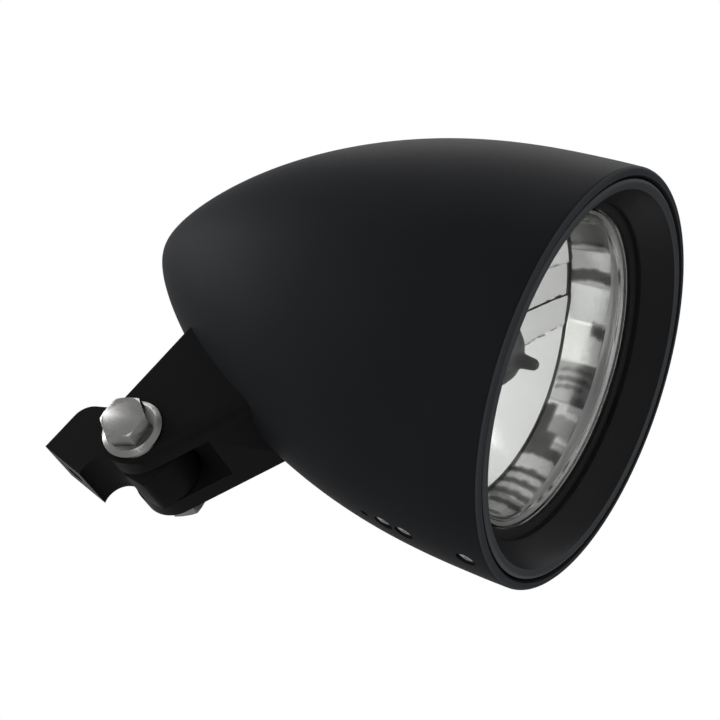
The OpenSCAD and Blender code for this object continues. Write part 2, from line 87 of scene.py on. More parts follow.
# an empty node group with its sockets, and the nodes that take them in and give them out
def startGroup(name, inputs, outputs):
    group = bpy.data.node_groups.new(name, "ShaderNodeTree")
    for label, default in inputs.items():
        sock = group.interface.new_socket(label, in_out="INPUT", socket_type="NodeSocketFloat")
        sock.default_value = default
    for label, kind in outputs.items():
        group.interface.new_socket(label, in_out="OUTPUT", socket_type=kind)
    return group, group.nodes.new("NodeGroupInput"), group.nodes.new("NodeGroupOutput")


grainSet = {
    "inputs": {"Scale": 900.0, "Depth": 0.1},
    "outputs": {"Mask": "NodeSocketFloat", "Cloud": "NodeSocketFloat", "Normal": "NodeSocketVector"},
    "grain": {"Detail": 3}, "cloud": {"Scale": 28, "Detail": 4},
    "spread": {"From Min": 0.35, "From Max": 0.65}, "bump": {"Distance": 0.0002},
    "maskRange": (0, 1),    # what the mask covers
}


# node group: fine grain of a coat or a moulding, as a mask, a slow cloud and a normal
def makeGrainGroup(cfg):
    group, take, give = startGroup("coatGrain", cfg["inputs"], cfg["outputs"])
    link = group.links.new
    coord = addNode(group, "ShaderNodeTexCoord")
    grain = addNode(group, "ShaderNodeTexNoise", cfg["grain"])
    cloud = addNode(group, "ShaderNodeTexNoise", cfg["cloud"])
    spread = addNode(group, "ShaderNodeMapRange", cfg["spread"])
    bump = addNode(group, "ShaderNodeBump", cfg["bump"])
    link(coord.outputs["Object"], grain.inputs["Vector"])
    link(coord.outputs["Object"], cloud.inputs["Vector"])
    link(take.outputs["Scale"], grain.inputs["Scale"])
    link(grain.outputs["Fac"], spread.inputs["Value"])
    link(take.outputs["Depth"], bump.inputs["Strength"])
    link(grain.outputs["Fac"], bump.inputs["Height"])
    link(spread.outputs["Result"], give.inputs["Mask"])
    link(cloud.outputs["Fac"], give.inputs["Cloud"])
    link(bump.outputs["Normal"], give.inputs["Normal"])
    return group


brushSet = {
    "inputs": {"Across": 1400.0, "Along": 90.0, "Depth": 0.12},
    "outputs": {"Mask": "NodeSocketFloat", "Blotch": "NodeSocketFloat", "Normal": "NodeSocketVector"},
    "streak": {"Scale": 1, "Detail": 4}, "blotch": {"Scale": 160, "Detail": 3}, "bump": {"Distance": 0.0001},
    "maskRange": (0.3, 0.7),
}


# node group: fine drawn lines of a turned or rolled metal, stretched along one axis
def makeBrushGroup(cfg):
    group, take, give = startGroup("metalBrush", cfg["inputs"], cfg["outputs"])
    link = group.links.new
    coord = addNode(group, "ShaderNodeTexCoord")
    stretch = addNode(group, "ShaderNodeCombineXYZ")
    scaled = addNode(group, "ShaderNodeVectorMath")
    scaled.operation = "MULTIPLY"
    streak = addNode(group, "ShaderNodeTexNoise", cfg["streak"])
    blotch = addNode(group, "ShaderNodeTexNoise", cfg["blotch"])
    bump = addNode(group, "ShaderNodeBump", cfg["bump"])
    link(take.outputs["Along"], stretch.inputs["X"])
    link(take.outputs["Across"], stretch.inputs["Y"])
    link(take.outputs["Across"], stretch.inputs["Z"])
    link(coord.outputs["Object"], scaled.inputs[0])
    link(stretch.outputs["Vector"], scaled.inputs[1])
    link(scaled.outputs["Vector"], streak.inputs["Vector"])
    link(coord.outputs["Object"], blotch.inputs["Vector"])
    link(take.outputs["Depth"], bump.inputs["Strength"])
    link(streak.outputs["Fac"], bump.inputs["Height"])
    link(streak.outputs["Fac"], give.inputs["Mask"])
    link(blotch.outputs["Fac"], give.inputs["Blotch"])
    link(bump.outputs["Normal"], give.inputs["Normal"])
    return group


coatGrain = makeGrainGroup(grainSet)
metalBrush = makeBrushGroup(brushSet)


def newMaterial(name):
    mat = bpy.data.materials.new(name)
    mat.use_nodes = True
    tree = mat.node_tree
    surface = next(x for x in tree.nodes if x.type == "BSDF_PRINCIPLED")
    return mat, tree, surface


def placeGroup(tree, group, values):
    placed = tree.nodes.new("ShaderNodeGroup")
    placed.node_tree = group
    for label, value in values.items():
        placed.inputs[label].default_value = value
    return placed


# base colour: two near colours mixed by a mask, times the mesh's tone where it has one, which holds painted
# highlights, painted reflections and painted shade
def linkBase(tree, surface, cfg, mask, paintedLight):
    link = tree.links.new
    tint = tree.nodes.new("ShaderNodeMix")
    tint.data_type = "RGBA"
    tint.inputs["A"].default_value = (*cfg["dark"], 1)
    tint.inputs["B"].default_value = (*cfg["light"], 1)
    link(mask, tint.inputs["Factor"])
    colour = tint.outputs["Result"]
    # the tone attribute: painted highlight, reflection and shade levels, set face by face
    if paintedLight:
        tone = tree.nodes.new("ShaderNodeAttribute")
        tone.attribute_name = "tone"
        shaded = tree.nodes.new("ShaderNodeMix")
        shaded.data_type = "RGBA"
        shaded.blend_type = "MULTIPLY"
        shaded.inputs["Factor"].default_value = 1
        link(colour, shaded.inputs["A"])
        link(tone.outputs["Color"], shaded.inputs["B"])
        colour = shaded.outputs["Result"]
    link(colour, surface.inputs["Base Color"])


# roughness between two values, by a mask that covers the given range
def linkRough(tree, surface, cfg, mask, maskRange):
    rough = addNode(tree, "ShaderNodeMapRange", {
        "From Min": maskRange[0], "From Max": maskRange[1],
        "To Min": cfg["rough"][0], "To Max": cfg["rough"][1]})
    tree.links.new(mask, rough.inputs["Value"])
    tree.links.new(rough.outputs["Result"], surface.inputs["Roughness"])


# a dull coat, rubber or moulding: colour by cloud, roughness by grain
def coatMaterial(name, cfg, paintedLight=False):
    mat, tree, surface = newMaterial(name)
    grain = placeGroup(tree, coatGrain, {"Scale": cfg["grainScale"], "Depth": cfg["grainDepth"]})
    linkBase(tree, surface, cfg, grain.outputs["Cloud"], paintedLight)
    linkRough(tree, surface, cfg, grain.outputs["Mask"], grainSet["maskRange"])
    tree.links.new(grain.outputs["Normal"], surface.inputs["Normal"])
    surface.inputs["Specular IOR Level"].default_value = cfg["specular"]
    return mat


# a bare or plated metal: colour by blotches, roughness by drawn lines
def metalMaterial(name, cfg, paintedLight=False):
    mat, tree, surface = newMaterial(name)
    brush = placeGroup(tree, metalBrush, {
        "Across": cfg["across"], "Along": cfg["along"], "Depth": cfg["depth"]})
    linkBase(tree, surface, cfg, brush.outputs["Blotch"], paintedLight)
    linkRough(tree, surface, cfg, brush.outputs["Mask"], brushSet["maskRange"])
    tree.links.new(brush.outputs["Normal"], surface.inputs["Normal"])
    surface.inputs["Metallic"].default_value = cfg["metallic"]
    return mat


# clear glass, faintly uneven in colour
def glassMaterial(name, cfg):
    mat, tree, surface = newMaterial(name)
    grain = placeGroup(tree, coatGrain, {"Scale": cfg["grainScale"]})
    linkBase(tree, surface, cfg, grain.outputs["Cloud"], False)
    surface.inputs["Roughness"].default_value = cfg["rough"]
    surface.inputs["IOR"].default_value = cfg["ior"]
    surface.inputs["Transmission Weight"].default_value = 1
    return mat


# the shell's and the ring's coats are multiplied by a painted lip highlight
blackCoat = coatMaterial("matBlackCoat", {
    "dark": (0.0280, 0.0297, 0.0330), "light": (0.0370, 0.0388, 0.0430), "rough": (0.45, 0.56),
    "grainScale": 2600, "grainDepth": 0.10, "specular": 0.006}, paintedLight=True)
mountCoat = coatMaterial("mountBlackCoat", {
    "dark": (0.0040, 0.0041, 0.0044), "light": (0.0056, 0.0057, 0.0060), "rough": (0.38, 0.5),
    "grainScale": 2200, "grainDepth": 0.10, "specular": 0.013})
ringCoat = coatMaterial("visorRingCoat", {
    "dark": (0.0220, 0.0230, 0.0255), "light": (0.0300, 0.0310, 0.0340), "rough": (0.36, 0.44),
    "grainScale": 2600, "grainDepth": 0.08, "specular": 0.06}, paintedLight=True)
sealRubber = coatMaterial("sealRubber", {
    "dark": (0.0045, 0.0045, 0.0047), "light": (0.0075, 0.0075, 0.0078), "rough": (0.6, 0.8),
    "grainScale": 1500, "grainDepth": 0.2, "specular": 0.15})
darkCap = coatMaterial("bulbCapCoat", {
    "dark": (0.082, 0.082, 0.082), "light": (0.104, 0.104, 0.104), "rough": (0.4, 0.55),
    "grainScale": 1800, "grainDepth": 0.1, "specular": 0.4})
blackPlastic = coatMaterial("plugPlastic", {
    "dark": (0.012, 0.012, 0.013), "light": (0.018, 0.018, 0.019), "rough": (0.4, 0.55),
    "grainScale": 1200, "grainDepth": 0.15, "specular": 0.4})
creamPlastic = coatMaterial("terminalPlastic", {
    "dark": (0.55, 0.52, 0.44), "light": (0.62, 0.59, 0.51), "rough": (0.4, 0.55),
    "grainScale": 1200, "grainDepth": 0.12, "specular": 0.4})
washerPlastic = coatMaterial("washerPlastic", {
    "dark": (0.012, 0.012, 0.012), "light": (0.018, 0.018, 0.018), "rough": (0.35, 0.5),
    "grainScale": 1500, "grainDepth": 0.1, "specular": 0.1})
stainless = metalMaterial("boltStainless", {
    "metallic": 1.0, "dark": (0.125, 0.124, 0.122), "light": (0.165, 0.164, 0.161), "rough": (0.27, 0.35),
    "across": 900, "along": 160, "depth": 0.02})
nutSteel = metalMaterial("nutStainless", {
    "metallic": 1.0, "dark": (0.085, 0.088, 0.094), "light": (0.115, 0.119, 0.127), "rough": (0.3, 0.4),
    "across": 900, "along": 160, "depth": 0.02})
screwSteel = metalMaterial("screwStainless", {
    "metallic": 1.0, "dark": (0.23, 0.23, 0.227), "light": (0.30, 0.30, 0.296), "rough": (0.34, 0.44),
    "across": 900, "along": 160, "depth": 0.02})
zincSteel = metalMaterial("zincSteel", {
    "metallic": 1.0, "dark": (0.58, 0.59, 0.60), "light": (0.68, 0.69, 0.70), "rough": (0.25, 0.38),
    "across": 1200, "along": 200, "depth": 0.1})
# the mirror's coats are multiplied by painted reflections and painted shade
mirrorCoat = metalMaterial("mirrorCoat", {
    "metallic": 1.0, "dark": (0.86, 0.86, 0.85), "light": (0.92, 0.92, 0.905), "rough": (0.12, 0.17),
    "across": 500, "along": 500, "depth": 0.004}, paintedLight=True)
skirtCoat = metalMaterial("skirtCoat", {
    "metallic": 1.0, "dark": (0.93, 0.93, 0.92), "light": (0.96, 0.96, 0.95), "rough": (0.13, 0.17),
    "across": 300, "along": 300, "depth": 0.001}, paintedLight=True)
capChrome = metalMaterial("capChrome", {
    "metallic": 1.0, "dark": (0.90, 0.90, 0.89), "light": (0.95, 0.95, 0.94), "rough": (0.08, 0.12),
    "across": 600, "along": 600, "depth": 0.002})
satinBand = metalMaterial("satinBand", {
    "metallic": 0.8, "dark": (0.88, 0.88, 0.87), "light": (0.94, 0.94, 0.93), "rough": (0.28, 0.36),
    "across": 900, "along": 900, "depth": 0.02})
brassMetal = metalMaterial("bladeBrass", {
    "metallic": 1.0, "dark": (0.58, 0.43, 0.17), "light": (0.68, 0.52, 0.23), "rough": (0.25, 0.4),
    "across": 1200, "along": 200, "depth": 0.1})
clearGlass = glassMaterial("lensGlass", {
    "dark": (0.965, 0.975, 0.97), "light": (0.985, 0.99, 0.985), "rough": 0.0, "ior": 1.5, "grainScale": 400})
bulbClear = glassMaterial("bulbGlass", {
    "dark": (0.96, 0.97, 0.97), "light": (0.985, 0.985, 0.985), "rough": 0.0, "ior": 1.47, "grainScale": 600})
print("materials made")


# the finished bmesh as a piece on a body, with its finish and the CAD nodes that it stands for
def linkPiece(name, bm, body, mat, slotName, *stoodFor, sharp):
    mesh = bpy.data.meshes.new(name)
    bm.to_mesh(mesh)
    bm.free()
    mesh.shade_smooth()
    mesh.set_sharp_from_angle(angle=math.radians(sharp))
    mesh.materials.append(mat)
    piece = bpy.data.objects.new(name, mesh)
    bpy.context.scene.collection.objects.link(piece)
    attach(piece, body)
    if stoodFor:
        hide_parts(*stoodFor)
    return piece


mergeDistance = 2e-6    # in metres
# flat and sharp in degrees: faces that meet flatter than one are merged, edges sharper than the other rounded
dressSet = {"flat": 0.6, "sharp": 32, "segments": 2}


# a CAD node's faces merged into clean edges, so that they shade and bevel well
def dressNode(node, mat, slotName, width, body):
    bm = bmesh.new()
    bm.from_mesh(nodes[node].data)
    bmesh.ops.remove_doubles(bm, verts=bm.verts, dist=mergeDistance)
    flat = math.radians(dressSet["flat"])
    bmesh.ops.dissolve_limit(bm, angle_limit=flat, verts=bm.verts, edges=bm.edges)
    piece = linkPiece(node + "Dressed", bm, body, mat, slotName, node, sharp=dressSet["sharp"])
    if width:
        bevel = piece.modifiers.new("softEdges", "BEVEL")
        bevel.width = width / 1000
        bevel.segments = dressSet["segments"]
        bevel.limit_method = "ANGLE"
        bevel.angle_limit = math.radians(dressSet["sharp"])
        bevel.harden_normals = True
    return piece


# a profile of (radius, depth) points in the lamp's millimetres, turned about the lamp's axis
def turned(profile, steps, closed=False):
    bm = bmesh.new()
    verts = [bm.verts.new(lampPoint(0, y, r)) for r, y in profile]
    edges = [bm.edges.new(pair) for pair in zip(verts, verts[1:])]
    if closed:
        edges.append(bm.edges.new((verts[-1], verts[0])))
    bmesh.ops.spin(bm, geom=verts + edges, cent=lampPoint(0, 0, 0), axis=(0, 1, 0), dvec=(0, 0, 0),
                   angle=2 * math.pi, steps=steps, use_merge=True, use_duplicate=False)
    bmesh.ops.remove_doubles(bm, verts=bm.verts, dist=mergeDistance)
    bmesh.ops.recalc_face_normals(bm, faces=bm.faces)
    return bm


# distance in millimetres from the lamp's axis, and degrees clockwise from the top
def lampPolar(co):
    x, z = co.x * 1000, co.z * 1000 - lampPlace["axisZ"]
    return math.hypot(x, z), math.degrees(math.atan2(x, z)) % 360


bullet = {
    "mouth": 82.5, "length": 199.8, "widest": 82.27, "wall": 2.6, "sharp": 34,
    "lipWidth": 4.2, "lipRound": 1.6, "lipArc": range(12, 85, 12), "lipChamfer": 0.8,
    "shoulder": 28.0, "ledgeDeep": 3.0, "ledgeHigh": 2.0,
    # polynomial that swells the plain bullet curve to the real one
    "swell": (1, 0.8421, 1.8708, -5.8503, 5.6222, -2.798), "rings": 84, "insideRings": 40, "steps": 224,
    "screws": (10.7, 37.7, 47.1), "seatRadius": 4.0, "seatDepth": 3.2, "shankRadius": 2.2,
    "drain": 56.0, "drainRadius": 1.6, "cutOver": 3.0, "cutThrough": 13.0,
    "rail": {"half": 7.0, "front": 33.0, "back": 71.0, "top": 72.0, "sink": 1.0},
    "grommet": {"y": 166.0, "turn": 55.0, "radius": 6.0, "deep": 8.0, "out": 4.0},
    # levels of the coat: a painted highlight on the lip's front, outside a radius and up to a depth, and the
    # plain level elsewhere
    "lipHighlightLevels": {"inside": 79.0, "last": 0.7, "lip": 0.85, "plain": 0.225},
}


def bulletRadius(y, mouth, length):
    t = y / length
    swell = sum(c * t ** i for i, c in enumerate(bullet["swell"]))
    return mouth * math.sqrt(max(0, (1 - t) * swell))


# distance from the lamp's axis to the shell's outside
def skinRadius(y):
    return min(bullet["widest"], bulletRadius(y, bullet["mouth"], bullet["length"]))


def rod(radius, start, end):
    bm = bmesh.new()
    bmesh.ops.create_cone(bm, cap_ends=True, segments=48, radius1=radius / 1000, radius2=radius / 1000,
                          depth=(end - start).length)
    turn = (end - start).to_track_quat("Z", "Y").to_matrix().to_4x4()
    bmesh.ops.transform(bm, matrix=Matrix.Translation((start + end) / 2) @ turn, verts=bm.verts)
    return bm


# the piece with the given solids cut away, as plain mesh
def carve(piece, cutters):
    tools = []
    for i, bm in enumerate(cutters):
        mesh = bpy.data.meshes.new(f"cutter{i}")
        bm.to_mesh(mesh)
        bm.free()
        tool = bpy.data.objects.new(mesh.name, mesh)
        bpy.context.scene.collection.objects.link(tool)
        cut = piece.modifiers.new(tool.name, "BOOLEAN")
        cut.operation = "DIFFERENCE"
        cut.solver = "EXACT"
        cut.object = tool
        tools.append(tool)
    shaped = bpy.data.meshes.new_from_object(piece.evaluated_get(bpy.context.evaluated_depsgraph_get()))
    piece.modifiers.clear()
    piece.data = shaped
    for tool in tools:
        bpy.data.objects.remove(tool)


# the coat's level on every face, with a painted highlight that lightens the lip's front
def paintLipHighlight(piece, cfg):
    tone = piece.data.color_attributes.new("tone", "FLOAT_COLOR", "CORNER")
    for face in piece.data.polygons:
        r, _ = lampPolar(face.center)
        onLip = r > cfg["inside"] and face.center.y * 1000 - lampPlace["mouthY"] < cfg["last"]
        level = cfg["lip"] if onLip else cfg["plain"]
        for corner in face.loop_indices:
            tone.data[corner].color = (level, level, level, 1)


# a rod that cuts straight up into the shell's underside, from start to end as heights over its skin
def cutUp(y, radius, start, end):
    low = skinRadius(y)
    return rod(radius, lampPoint(0, y, start - low), lampPoint(0, y, end - low))


# seats and holes of the screws, the drain hole and the grommet's hole
def shellCutters(cfg):
    cutters = []
    for y in cfg["screws"]:
        cutters.append(cutUp(y, cfg["seatRadius"], -cfg["cutOver"], cfg["seatDepth"]))
        cutters.append(cutUp(y, cfg["shankRadius"], 0, cfg["cutThrough"]))
    cutters.append(cutUp(cfg["drain"], cfg["drainRadius"], -cfg["cutOver"], cfg["cutThrough"]))
    hole = cfg["grommet"]
    turn = math.radians(hole["turn"])
    out = skinRadius(hole["y"])
    slope = (skinRadius(hole["y"] + 1) - skinRadius(hole["y"] - 1)) / 2
    away = Vector((math.sin(turn), -slope, -math.cos(turn))) / 1000
    spot = lampPoint(out * math.sin(turn), hole["y"], -out * math.cos(turn))
    cutters.append(rod(hole["radius"], spot - away * hole["deep"], spot + away * hole["out"]))
    return cutters


def makeShell(cfg):
    bore = cfg["mouth"] - cfg["lipWidth"]
    lipRound = cfg["lipRound"]
    lipCentre = cfg["widest"] - lipRound
    inMouth = cfg["mouth"] - cfg["wall"]
    inLength = cfg["length"] - cfg["wall"]
    ledge = cfg["shoulder"] + cfg["ledgeDeep"]
    profile = [(bore + cfg["lipChamfer"], 0), (lipCentre, 0)]
    for degrees in cfg["lipArc"]:
        a = math.radians(degrees)
        profile.append((lipCentre + lipRound * math.sin(a), lipRound * (1 - math.cos(a))))
    rings = cfg["rings"]
    for i in range(rings + 1):
        y = lipRound + (cfg["length"] - lipRound) * (1 - (1 - i / rings) ** 2)
        profile.append((skinRadius(y) if i < rings else 0, y))
    profile.append((0, inLength))
    rings = cfg["insideRings"]
    for i in reversed(range(rings)):
        y = ledge + (inLength - ledge) * (1 - (1 - i / rings) ** 2)
        profile.append((bulletRadius(y, inMouth, inLength), y))
    profile += [(bore - cfg["ledgeHigh"], ledge), (bore - cfg["ledgeHigh"], cfg["shoulder"]),
                (bore, cfg["shoulder"]), (bore, cfg["lipChamfer"])]
    bm = turned(profile, cfg["steps"], closed=True)
    rail = cfg["rail"]
    corners = []
    for y in (rail["front"], rail["back"]):
        low = bulletRadius(y, inMouth, inLength) + rail["sink"]
        corners += [lampPoint(x, y, -r) for r in (rail["top"], low) for x in (-rail["half"], rail["half"])]
    bmesh.ops.convex_hull(bm, input=[bm.verts.new(co) for co in corners])
    piece = linkPiece("bulletShell", bm, "head", blackCoat, "black_paint", "shell", sharp=cfg["sharp"])
    carve(piece, shellCutters(cfg))
    piece.data.shade_smooth()
    piece.data.set_sharp_from_angle(angle=math.radians(cfg["sharp"]))
    # the lip's front gets a painted highlight
    paintLipHighlight(piece, cfg["lipHighlightLevels"])


# low-head screws, sunk in their seats, with a shallow socket
screwSet = {
    "sink": 0.85, "radius": 3.8, "head": 1.8, "shank": 2.0, "length": 8.0, "key": 2.0, "keyDeep": 0.2,
    "steps": 48,
    # the low dome: shares of the head's radius, and of the dome's height below its top
    "dome": 0.35, "domeShape": ((0.6, 0.2), (0.88, 0.62), (1.0, 1.2)),
}


def makeScrews(cfg):
    bm = bmesh.new()
    for y in bullet["screws"]:
        face = -skinRadius(y) + cfg["sink"]
        neck = face + cfg["head"]
        socket = face + cfg["keyDeep"]
        profile = [(0, socket), (cfg["key"] / 2, socket), (cfg["key"] / 2, face)]
        profile += [(cfg["radius"] * out, face + cfg["dome"] * up) for out, up in cfg["domeShape"]]
        profile += [(cfg["radius"], neck), (cfg["shank"], neck),
                    (cfg["shank"], neck + cfg["length"]), (0, neck + cfg["length"])]
        verts = [bm.verts.new(lampPoint(r, y, z)) for r, z in profile]
        edges = [bm.edges.new(pair) for pair in zip(verts, verts[1:])]
        bmesh.ops.spin(bm, geom=verts + edges, cent=lampPoint(0, y, 0), axis=(0, 0, 1), dvec=(0, 0, 0),
                       angle=2 * math.pi, steps=cfg["steps"], use_merge=True, use_duplicate=False)
    bmesh.ops.remove_doubles(bm, verts=bm.verts, dist=mergeDistance)
    bmesh.ops.recalc_face_normals(bm, faces=bm.faces)
    linkPiece("capScrews", bm, "head", screwSteel, "stainless", "cap_screws", sharp=40)


lens = {
    "edgeRadius": 62.4, "insertRadius": 72.8, "front": 16.2, "thickness": 4.0, "rise": 5.0,
    "rings": 30, "steps": 224,
    # the outer and inner domes: how far each ends inside the edge, and how far it stands behind the front
    "outer": {"inset": 1.6, "behind": 1.0}, "inner": {"inset": 3.0, "behind": 5.4},
    # the rounded edge between the outer dome and the flat rim, and the rim's inner end
    "bead": ((-0.4, -0.25), (0.2, 0.0)), "rimInset": 1.5,
}


def makeLens(cfg):
    edge, rise, front = cfg["edgeRadius"], cfg["rise"], cfg["front"]
    back = front + cfg["thickness"]
    ball = (edge * edge + rise * rise) / (2 * rise)

    def dome(side):
        radii = [(edge - side["inset"]) * i / cfg["rings"] for i in range(cfg["rings"] + 1)]
        return [(r, front + side["behind"] + ball - rise - math.sqrt(ball * ball - r * r)) for r in radii]

    profile = dome(cfg["outer"]) + [(edge + out, front + deeper) for out, deeper in cfg["bead"]]
    profile += [(cfg["insertRadius"], front), (cfg["insertRadius"], back), (edge - cfg["rimInset"], back)]
    profile += reversed(dome(cfg["inner"]))
    bm = turned(profile, cfg["steps"])
    linkPiece("lensDome", bm, "head", clearGlass, "clear_glass", "lens_glass", sharp=50)


# flange, skirt and bowl in one sheet, with the neck that holds the bulb
mirror = {
    "insertRadius": 72.8, "flangeY": 20.2, "flangeIn": 67.7, "turnIn": 67.5, "turnFront": 0.2, "sheet": 1.2,
    "mouthRadius": 66.5, "mouthY": 23.6, "rimRadius": 64.0, "rimY": 43.8, "skirtSteps": 480, "skirtRings": 28,
    "deep": 42.7, "bowlIn": 22.4, "bowlRings": 24, "steps": 240,
    "neck": 19.2, "neckFront": 2.6, "neckY": 91.9,
    # upright strips of the bowl: distance of the step from the middle, how far it stands back, lean, and
    # tone, a painted reflection level
    "middle": (0.0, 0.0, 0.0, 0.9),
    "strips": ((22.3, 0.9, 0.0, 0.86), (37.0, 0.0, 0.0, 0.88), (46.0, 0.4, -0.12, 1.0)),
    # the steps rise from nothing at a radius, over a width
    "stepFrom": 24.0, "stepFade": 4.0,
    # width of the painted shade line at each step and at the rim, the painted share of the rim's line, the
    # lines' painted shade tone
    "gap": 0.22, "rimLine": 0.45, "rimShare": 0.9, "stepShadeTone": 0.3,
    # painted reflections on the skirt: from and to angle, clockwise from the top, from and to depth, tone
    "reflectionMarks": (
        (0, 12, 23, 44, 0.62), (12, 14, 23, 44, 0.5), (25, 30, 23, 44, 0.45),
        (46, 51, 26, 33, 0.5), (64, 65, 23, 41, 0.65), (67.4, 68.6, 23, 41, 0.6),
        (70.5, 71.5, 30, 41, 0.6), (74, 80, 26, 33, 0.8), (78, 89, 37, 44, 0.36),
        (82, 90, 24, 37, 0.75), (89, 95, 33, 44, 0.42), (95, 99.5, 25, 44, 0.45),
        (106, 108.5, 25, 44, 0.45), (112, 114.5, 28, 44, 0.5), (118, 121, 25, 44, 0.5),
        (124, 127, 24, 40, 0.5), (133, 137, 26, 44, 0.5), (145, 150, 24, 40, 0.55),
        (158, 163, 24, 44, 0.6), (176, 182, 26, 44, 0.6), (204, 210, 24, 40, 0.65),
        (236, 242, 25, 44, 0.65), (264, 269, 24, 36, 0.7), (296, 301, 26, 44, 0.7),
        (324, 329, 24, 40, 0.7), (352, 360, 24, 44, 0.7)),
    # how far the painted reflections sway in degrees, every pillow's width in degrees, its bulge and its soft
    # start
    "sway": 2.2, "pillow": 15.0, "bulge": 0.3, "pillowFade": 4.0,
}


# the strip of the bowl that a place belongs to
def stripOf(x, cfg):
    found = cfg["middle"]
    for strip in cfg["strips"]:
        if abs(x) > strip[0]:
            found = strip
    return found


# painted reflection and shade on the coat, face by face, or softened at every corner to the mean of the faces
# round it
def paintReflectionShade(bm, paintedLightAt, soft):
    tone = bm.loops.layers.color.new("tone")
    levels = {f: paintedLightAt(f.calc_center_median()) for f in bm.faces}
    for v in bm.verts:
        mean = sum(levels[f] for f in v.link_faces) / max(1, len(v.link_faces))
        for corner in v.link_loops:
            level = mean if soft else levels[corner.face]
            corner[tone] = (level, level, level, 1)


# the mirror's thickness, behind the face that shows
def addSheet(piece, thickness):
    sheet = piece.modifiers.new("sheet", "SOLIDIFY")
    sheet.thickness = thickness / 1000
    sheet.offset = -1


def makeBowl(cfg):
    tall = cfg["rimY"] + cfg["deep"]
    rings = cfg["bowlRings"]
    radii = [cfg["rimRadius"], cfg["rimRadius"] - cfg["rimLine"]]
    radii += [cfg["rimRadius"] + (cfg["bowlIn"] - cfg["rimRadius"]) * i / rings for i in range(1, rings + 1)]
    profile = [(r, tall - cfg["deep"] * (r / cfg["rimRadius"]) ** 2) for r in radii]
    profile += [(cfg["neck"], tall - cfg["neckFront"]), (cfg["neck"], cfg["neckY"])]
    bm = turned(profile, cfg["steps"])
    for edge in (strip[0] for strip in cfg["strips"]):
        for offset in (-cfg["gap"] / 2, cfg["gap"] / 2):
            for side in (-1, 1):
                bmesh.ops.bisect_plane(bm, geom=bm.verts[:] + bm.edges[:] + bm.faces[:], dist=1e-7,
                                       plane_co=(side * (edge + offset) / 1000, 0, 0), plane_no=(1, 0, 0))
    for v in bm.verts:
        r, _ = lampPolar(v.co)
        if r > cfg["stepFrom"]:
            edge, back, lean, _ = stripOf(v.co.x * 1000, cfg)
            fade = min(1, (r - cfg["stepFrom"]) / cfg["stepFade"])
            v.co.y += (back + lean * (abs(v.co.x) * 1000 - edge)) * fade / 1000

    # painted shade on the lines at the steps and the rim, painted reflection levels on the strips
    def paintedLightAt(mid):
        r, _ = lampPolar(mid)
        if r > cfg["rimRadius"] - cfg["rimLine"] * cfg["rimShare"]:
            return cfg["stepShadeTone"]
        if any(abs(abs(mid.x) * 1000 - strip[0]) < cfg["gap"] / 2 for strip in cfg["strips"]):
            return cfg["stepShadeTone"]
        return stripOf(mid.x * 1000, cfg)[3]

    paintReflectionShade(bm, paintedLightAt, soft=False)
    piece = linkPiece("mirrorBowl", bm, "head", mirrorCoat, "mirror_coat", "reflector", sharp=28)
    addSheet(piece, cfg["sheet"])


def makeSkirt(cfg):
    rings = cfg["skirtRings"]
    profile = [(cfg["insertRadius"], cfg["flangeY"]), (cfg["flangeIn"], cfg["flangeY"]),
               (cfg["turnIn"], cfg["mouthY"] - cfg["turnFront"])]
    profile += [(cfg["mouthRadius"] + (cfg["rimRadius"] - cfg["mouthRadius"]) * i / rings,
                 cfg["mouthY"] + (cfg["rimY"] - cfg["mouthY"]) * i / rings) for i in range(rings + 1)]
    bm = turned(profile, cfg["skirtSteps"])
    for v in bm.verts:
        r, angle = lampPolar(v.co)
        y = v.co.y * 1000 - lampPlace["mouthY"]
        deep = min(1, (y - cfg["mouthY"]) / cfg["pillowFade"], cfg["rimY"] - y)
        if deep > 0:
            share = angle / cfg["pillow"] % 1
            out = (0.5 - 4 * share * (1 - share)) * cfg["bulge"] * deep / r
            v.co.x += v.co.x * out
            v.co.z += (v.co.z * 1000 - lampPlace["axisZ"]) * out / 1000

    # painted reflections: darker and lighter marks on the skirt
    def paintedLightAt(mid):
        _, angle = lampPolar(mid)
        y = mid.y * 1000 - lampPlace["mouthY"]
        sway = cfg["sway"] * math.sin(math.pi * (y - cfg["mouthY"]) / (cfg["rimY"] - cfg["mouthY"]))
        level = 1.0
        for first, last, front, back, tone in cfg["reflectionMarks"]:
            if first <= angle + sway < last and front <= y < back:
                level = tone
        return level

    paintReflectionShade(bm, paintedLightAt, soft=True)
    piece = linkPiece("mirrorSkirt", bm, "head", skirtCoat, "mirror_coat", sharp=35)
    addSheet(piece, cfg["sheet"])


# the satin wall between glass and mirror, which shows as a pale band round the edge
edgeBand = {
    "front": (66.7, 20.3), "back": (65.6, 27.4), "thick": 0.3, "steps": 224,
    "ribs": 3, "ribPoints": 4, "relief": 0.05,
}


def makeEdgeBand(cfg):
    (r0, y0), (r1, y1) = cfg["front"], cfg["back"]
    profile = []
    points = cfg["ribs"] * cfg["ribPoints"]
    for i in range(points + 1):
        share = i / points
        wave = cfg["relief"] * math.cos(2 * math.pi * share * cfg["ribs"])
        profile.append((r0 + (r1 - r0) * share + wave, y0 + (y1 - y0) * share))
    profile += [(r1 + cfg["thick"], y1), (r0 + cfg["thick"], y0)]
    bm = turned(profile, cfg["steps"], closed=True)
    linkPiece("edgeBand", bm, "head", satinBand, "mirror_coat", sharp=60)


